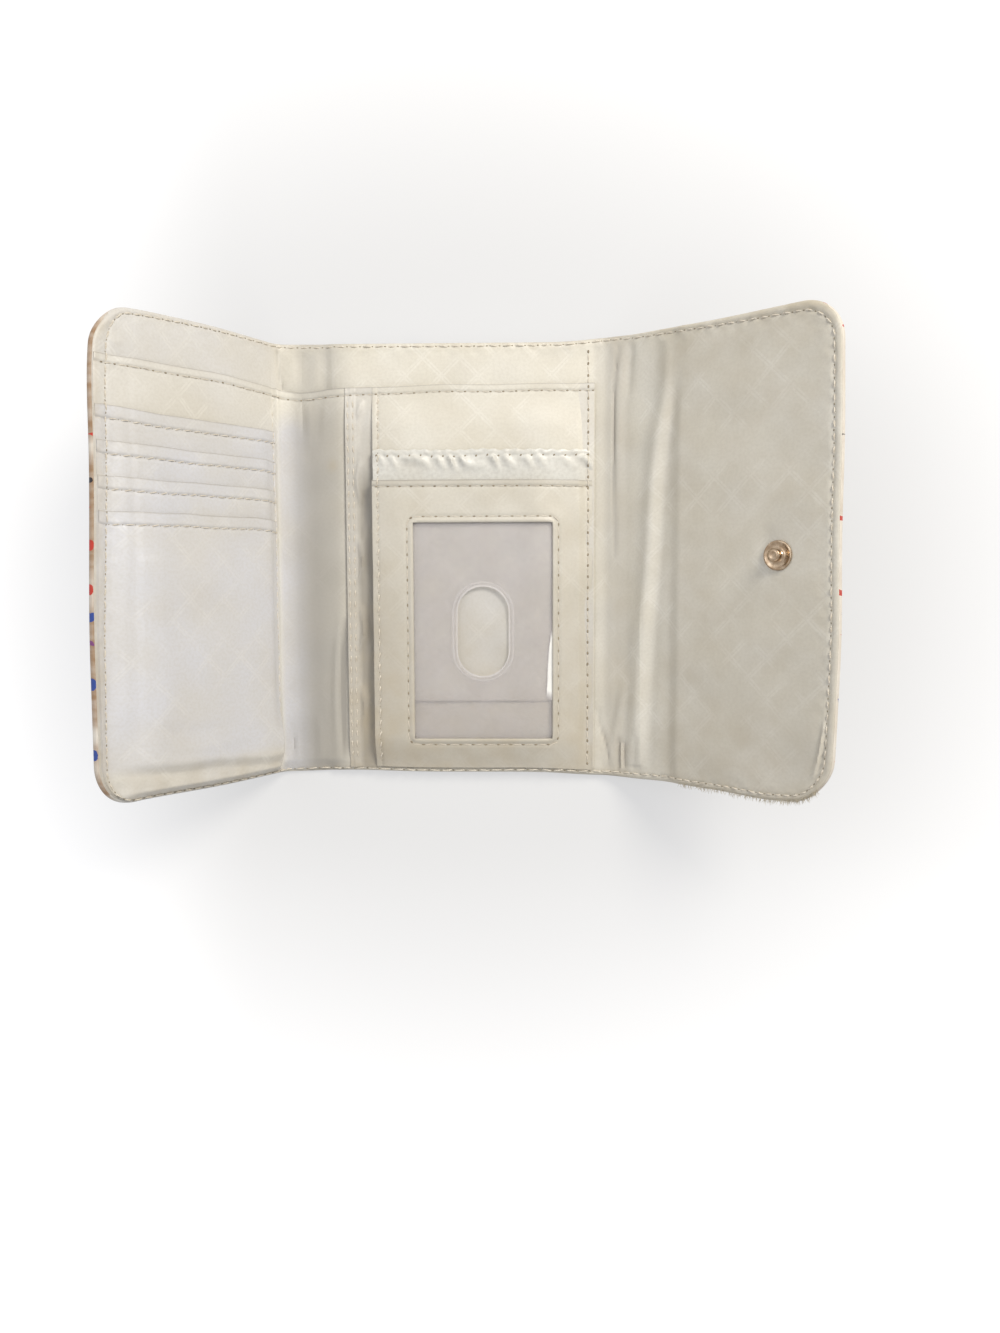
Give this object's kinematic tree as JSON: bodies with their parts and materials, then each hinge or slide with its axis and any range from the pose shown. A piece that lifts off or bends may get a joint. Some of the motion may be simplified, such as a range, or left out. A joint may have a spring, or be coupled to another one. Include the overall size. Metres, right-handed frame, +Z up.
{
  "type": "folding wallet",
  "caption": "Snap-closed fabric wallet lying half open: a card-pocket flap and a snap flap fold over a centre with a clear ID window, a ribbon-edged pocket and a bill pocket.",
  "frame": {"origin": "under the middle of the open wallet's bounding box, on the surface that its centre panel and left spine lie on", "axes": "+X across the wallet from the card flap to the snap flap, +Y up the wallet's height towards the pocket mouths, +Z up, out of the lining"},
  "size_m": [0.2068, 0.14, 0.0572],
  "materials": {
    "printed_cotton": "printed cotton twill, off-white ground",
    "lining_satin": "pale grey-cream woven lining with a soft sheen",
    "ribbon_satin": "gathered satin ribbon",
    "fibre_board": "bonded fibre stiffener",
    "shield_film": "thin foil film",
    "clear_vinyl": "clear, slightly cloudy vinyl",
    "nickel_plate": "worn nickel plate"
  },
  "bodies": {
    "centre": {"outer_centre": "printed_cotton", "centre_board": "fibre_board", "centre_shield_film": "shield_film", "centre_lining": "lining_satin", "bill_pocket_centre": "lining_satin", "slip_pocket_panel": "lining_satin", "id_pocket_back": "lining_satin", "ribbon_card_pocket": "ribbon_satin", "id_window_film": "clear_vinyl", "id_window_frame": "lining_satin", "id_pocket_left_seam": "lining_satin", "id_pocket_right_seam": "lining_satin", "id_pocket_bottom_seam": "lining_satin"},
    "left_spine": {"outer_left_spine": "printed_cotton", "left_spine_lining": "lining_satin", "bill_pocket_left_spine": "lining_satin"},
    "left_flap": {"outer_left_flap": "printed_cotton", "left_flap_board": "fibre_board", "left_flap_shield_film": "shield_film", "left_flap_lining": "lining_satin", "bill_pocket_left_flap": "lining_satin", "card_pocket_1": "lining_satin", "card_pocket_2": "lining_satin", "card_pocket_3": "lining_satin", "card_pocket_4": "lining_satin", "card_pocket_fold_seam": "lining_satin", "card_pocket_side_seam": "lining_satin", "card_pocket_corner_seam": "lining_satin", "card_pocket_bottom_seam": "lining_satin", "snap_socket": "nickel_plate", "snap_socket_rivet": "nickel_plate", "snap_socket_spring": "nickel_plate"},
    "right_spine": {"outer_right_spine": "printed_cotton", "right_spine_lining": "lining_satin"},
    "right_flap": {"outer_right_flap": "printed_cotton", "right_flap_board": "fibre_board", "right_flap_lining": "lining_satin", "snap_stud": "nickel_plate", "snap_cap": "nickel_plate"}
  },
  "joints": [
    {"name": "left_spine_fold", "type": "hinge", "parent": "centre", "child": "left_spine", "pos_m": [-0.04582, 0, 0], "axis": [0, 1, 0], "range_deg": [0, 90]},
    {"name": "left_flap_fold", "type": "hinge", "parent": "left_spine", "child": "left_flap", "pos_m": [-0.06532, 0, 0], "axis": [0, 1, 0], "range_deg": [-55.7, 34.3]},
    {"name": "right_spine_fold", "type": "hinge", "parent": "centre", "child": "right_spine", "pos_m": [0.04538, 0, 0], "axis": [0, -1, 0], "range_deg": [-42.3, 47.7]},
    {"name": "right_flap_fold", "type": "hinge", "parent": "right_spine", "child": "right_flap", "pos_m": [0.06472, 0, 0.0176], "axis": [0, -1, 0], "range_deg": [0, 90]}
  ]
}
